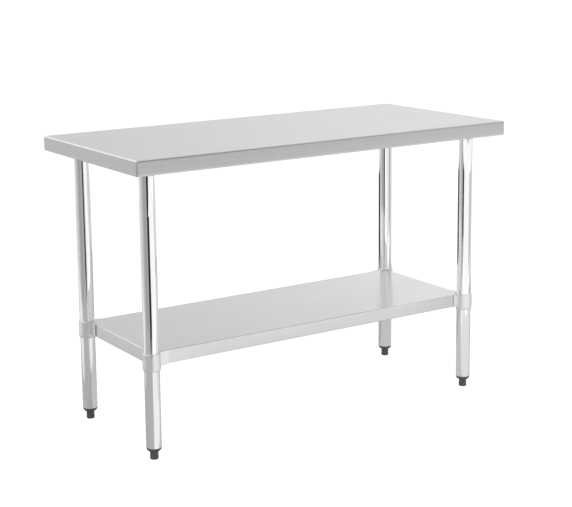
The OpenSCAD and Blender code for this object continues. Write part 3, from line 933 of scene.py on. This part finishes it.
def moulded_plastic():
    """Dark grey nylon with a fine moulded texture, paler where it is scuffed."""
    nylon, shader = finish("moulded_plastic", (0.075, 0.078, 0.08), 0.0, 0.5)
    places = node(nylon, "TexCoord").outputs["Object"]
    scuffs = grain(nylon, places, (160.0, 160.0, 260.0), detail=5.0, roughness=0.65)
    skin = grain(nylon, places, (2200.0, 2200.0, 2200.0), detail=2.0)
    wire(nylon, tinted(nylon, spread(nylon, scuffs, 0, 1, (0.42, 0.72)), (0.062, 0.065, 0.067),
                       (0.13, 0.133, 0.135)), shader.inputs["Base Color"])
    wire(nylon, spread(nylon, scuffs, 0.42, 0.62), shader.inputs["Roughness"])
    raised(nylon, shader, skin, 0.00005, strength=0.5)
    return nylon


nylon = moulded_plastic()
for corner in CORNERS:
    axis, bottom, top = middle_of(f"foot_insert_{corner}")
    low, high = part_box(f"leg_{corner}")
    rim = low.z
    outer = (high.x - low.x) / 2
    mouth = RECESS_RADIUS + BOWL_RIM
    plug = outer - TUBE_WALL - PLUG_ROOM
    outline = [(RECESS_RADIUS, bottom + MOUTH_EDGE), (RECESS_RADIUS + MOUTH_EDGE, bottom)]
    for i in range(BOWL_STEPS + 1):
        t = i / BOWL_STEPS
        angle = math.radians(90 * (1 - t))
        swell = BOWL_ROUND * math.cos(angle) + (1 - BOWL_ROUND) * t
        fall = BOWL_ROUND * math.sin(angle) + (1 - BOWL_ROUND) * (1 - t)
        outline.append((mouth + (outer - mouth) * swell,
                        rim - BOWL_LIP - (rim - bottom - BOWL_LIP) * fall))
    outline += [(outer, rim - RIM_EDGE), (outer - RIM_EDGE, rim), (plug, rim)]
    for i in range(PLUG_RIBS):
        base = rim + RIB_START + RIB_SPACING * i
        outline += [(plug, base), (plug + 0.0007, base + 0.0005), (plug + 0.0005, base + 0.0015),
                    (plug, base + 0.004)]
    outline += [(plug, top - PLUG_EDGE), (plug - PLUG_EDGE, top), (THREAD_RADIUS + HOLE_EDGE, top),
                (THREAD_RADIUS, top - HOLE_EDGE), (THREAD_RADIUS, bottom + RECESS_DEPTH),
                (RECESS_RADIUS, bottom + RECESS_DEPTH)]
    insert = lathe(f"foot_bowl_{corner}", outline, axis, nylon)
    fit(crisp(insert, 35), "table", "foot_plastic", f"foot_insert_{corner}")

    axis, bottom, top = middle_of(f"foot_nose_{corner}")
    low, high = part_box(f"foot_nose_{corner}")
    pad = (high.x - low.x) / 2
    barrel = pad - PAD_SWELL
    bore = THREAD_RADIUS + STUD_ROOM
    outline = [(0.0, bottom + DISH_DEPTH), (0.0055, bottom + DISH_DEPTH), (0.0060, bottom + 0.0004),
               (0.0068, bottom)]
    for i in range(PAD_STEPS + 1):
        angle = math.radians(90 * i / PAD_STEPS)
        outline.append((pad - PAD_EDGE * (1 - math.sin(angle)), bottom + PAD_EDGE * (1 - math.cos(angle))))
    outline += [(pad, bottom + PAD_HEIGHT), (barrel, bottom + PAD_HEIGHT + 0.0005),
                (barrel, top - HOLE_EDGE), (barrel - HOLE_EDGE, top), (bore, top),
                (bore, bottom + STUD_HOLE_START), (0.0, bottom + STUD_HOLE_START)]
    nose = lathe(f"foot_tip_{corner}", outline, axis, nylon)
    fit(crisp(nose, 35), f"foot_turn_{corner}", "foot_plastic", f"foot_nose_{corner}")

    axis, bottom, top = middle_of(f"foot_stud_{corner}")
    bm = bmesh.new()
    threaded_rod(bm, Vector((*axis, 0)), bottom, top, THREAD_RADIUS, FOOT_PITCH, steps=2 * THREAD_STEPS)
    bmesh.ops.recalc_face_normals(bm, faces=bm.faces)
    stud = piece_from(f"foot_screw_{corner}", bm, zinc_plated)
    fit(crisp(stud, 40), f"foot_lift_{corner}", "foot_thread", f"foot_stud_{corner}")
